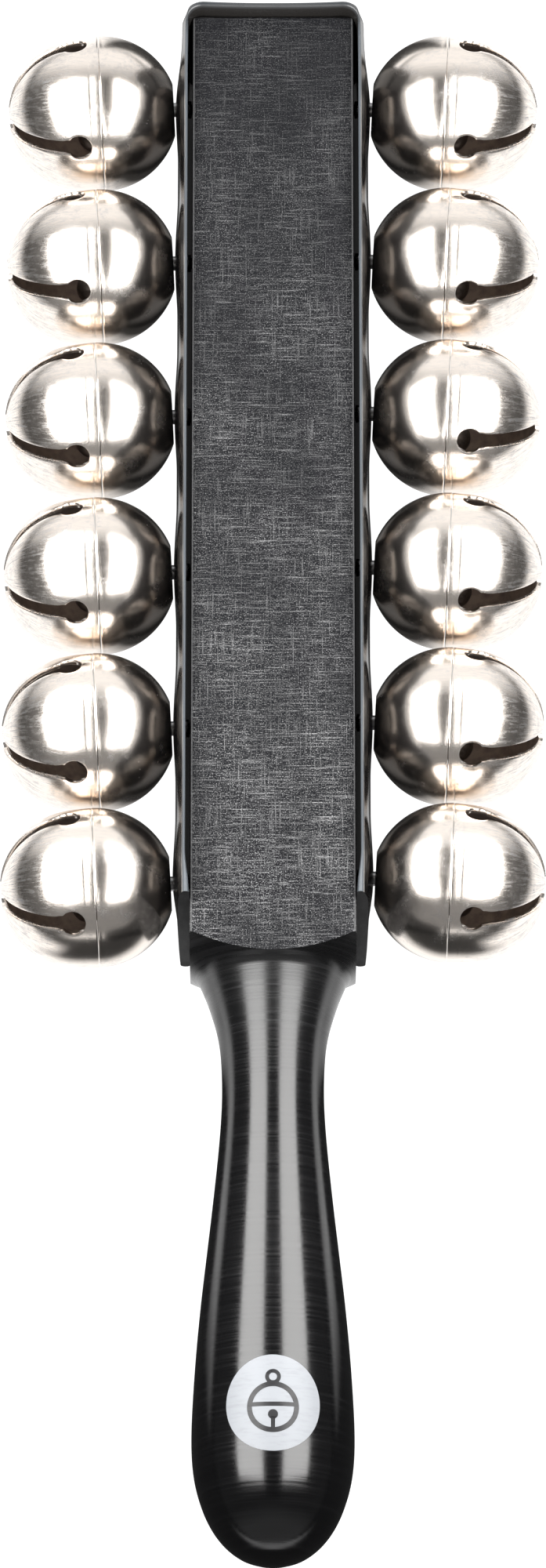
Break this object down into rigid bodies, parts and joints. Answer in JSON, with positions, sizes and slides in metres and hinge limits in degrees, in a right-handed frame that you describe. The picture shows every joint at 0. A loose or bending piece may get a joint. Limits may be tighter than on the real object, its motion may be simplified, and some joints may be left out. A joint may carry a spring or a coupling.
{
  "type": "sleigh bells",
  "caption": "Hand-held sleigh bells: two rows of slotted jingle bells on a glossy black strap round a square wooden block with a turned grip.",
  "frame": {"origin": "centre of the bounding box at the level of the surface that the strap's rear edge rests on", "axes": "+Y along the length from the grip to the head, +X across the two rows of bells, +Z out of the block's front face"},
  "size_m": [0.1084, 0.3224, 0.04],
  "materials": {
    "black_wood": "satin black stain and lacquer",
    "black_strap": "gloss",
    "bell_cup": "satin nickel plate",
    "bell_crown": "satin nickel plate",
    "pellet_steel": "plain steel",
    "screw_steel": "zinc plated"
  },
  "bodies": {
    "frame": {"body_handle": "black_wood", "strap": "black_strap", "strap_screw": "screw_steel", "bell_l1_cup": "bell_cup", "bell_l1_crown": "bell_crown", "bell_l1_screw": "screw_steel", "bell_l2_cup": "bell_cup", "bell_l2_crown": "bell_crown", "bell_l2_screw": "screw_steel", "bell_l3_cup": "bell_cup", "bell_l3_crown": "bell_crown", "bell_l3_screw": "screw_steel", "bell_l4_cup": "bell_cup", "bell_l4_crown": "bell_crown", "bell_l4_screw": "screw_steel", "bell_l5_cup": "bell_cup", "bell_l5_crown": "bell_crown", "bell_l5_screw": "screw_steel", "bell_l6_cup": "bell_cup", "bell_l6_crown": "bell_crown", "bell_l6_screw": "screw_steel", "bell_r1_cup": "bell_cup", "bell_r1_crown": "bell_crown", "bell_r1_screw": "screw_steel", "bell_r2_cup": "bell_cup", "bell_r2_crown": "bell_crown", "bell_r2_screw": "screw_steel", "bell_r3_cup": "bell_cup", "bell_r3_crown": "bell_crown", "bell_r3_screw": "screw_steel", "bell_r4_cup": "bell_cup", "bell_r4_crown": "bell_crown", "bell_r4_screw": "screw_steel", "bell_r5_cup": "bell_cup", "bell_r5_crown": "bell_crown", "bell_r5_screw": "screw_steel", "bell_r6_cup": "bell_cup", "bell_r6_crown": "bell_crown", "bell_r6_screw": "screw_steel"},
    "pellet_l1": {"bell_l1_pellet": "pellet_steel"},
    "pellet_l2": {"bell_l2_pellet": "pellet_steel"},
    "pellet_l3": {"bell_l3_pellet": "pellet_steel"},
    "pellet_l4": {"bell_l4_pellet": "pellet_steel"},
    "pellet_l5": {"bell_l5_pellet": "pellet_steel"},
    "pellet_l6": {"bell_l6_pellet": "pellet_steel"},
    "pellet_r1": {"bell_r1_pellet": "pellet_steel"},
    "pellet_r2": {"bell_r2_pellet": "pellet_steel"},
    "pellet_r3": {"bell_r3_pellet": "pellet_steel"},
    "pellet_r4": {"bell_r4_pellet": "pellet_steel"},
    "pellet_r5": {"bell_r5_pellet": "pellet_steel"},
    "pellet_r6": {"bell_r6_pellet": "pellet_steel"}
  },
  "joints": [
    {"name": "rattle_l1", "type": "slide", "parent": "frame", "child": "pellet_l1", "axis": [0, 0, 1], "range_m": [0, 0.0217]},
    {"name": "rattle_l2", "type": "slide", "parent": "frame", "child": "pellet_l2", "axis": [0, 0, 1], "range_m": [0, 0.0217]},
    {"name": "rattle_l3", "type": "slide", "parent": "frame", "child": "pellet_l3", "axis": [0, 0, 1], "range_m": [0, 0.0217]},
    {"name": "rattle_l4", "type": "slide", "parent": "frame", "child": "pellet_l4", "axis": [0, 0, 1], "range_m": [0, 0.0217]},
    {"name": "rattle_l5", "type": "slide", "parent": "frame", "child": "pellet_l5", "axis": [0, 0, 1], "range_m": [0, 0.0217]},
    {"name": "rattle_l6", "type": "slide", "parent": "frame", "child": "pellet_l6", "axis": [0, 0, 1], "range_m": [0, 0.0217]},
    {"name": "rattle_r1", "type": "slide", "parent": "frame", "child": "pellet_r1", "axis": [0, 0, 1], "range_m": [0, 0.0217]},
    {"name": "rattle_r2", "type": "slide", "parent": "frame", "child": "pellet_r2", "axis": [0, 0, 1], "range_m": [0, 0.0217]},
    {"name": "rattle_r3", "type": "slide", "parent": "frame", "child": "pellet_r3", "axis": [0, 0, 1], "range_m": [0, 0.0217]},
    {"name": "rattle_r4", "type": "slide", "parent": "frame", "child": "pellet_r4", "axis": [0, 0, 1], "range_m": [0, 0.0217]},
    {"name": "rattle_r5", "type": "slide", "parent": "frame", "child": "pellet_r5", "axis": [0, 0, 1], "range_m": [0, 0.0217]},
    {"name": "rattle_r6", "type": "slide", "parent": "frame", "child": "pellet_r6", "axis": [0, 0, 1], "range_m": [0, 0.0217]}
  ]
}
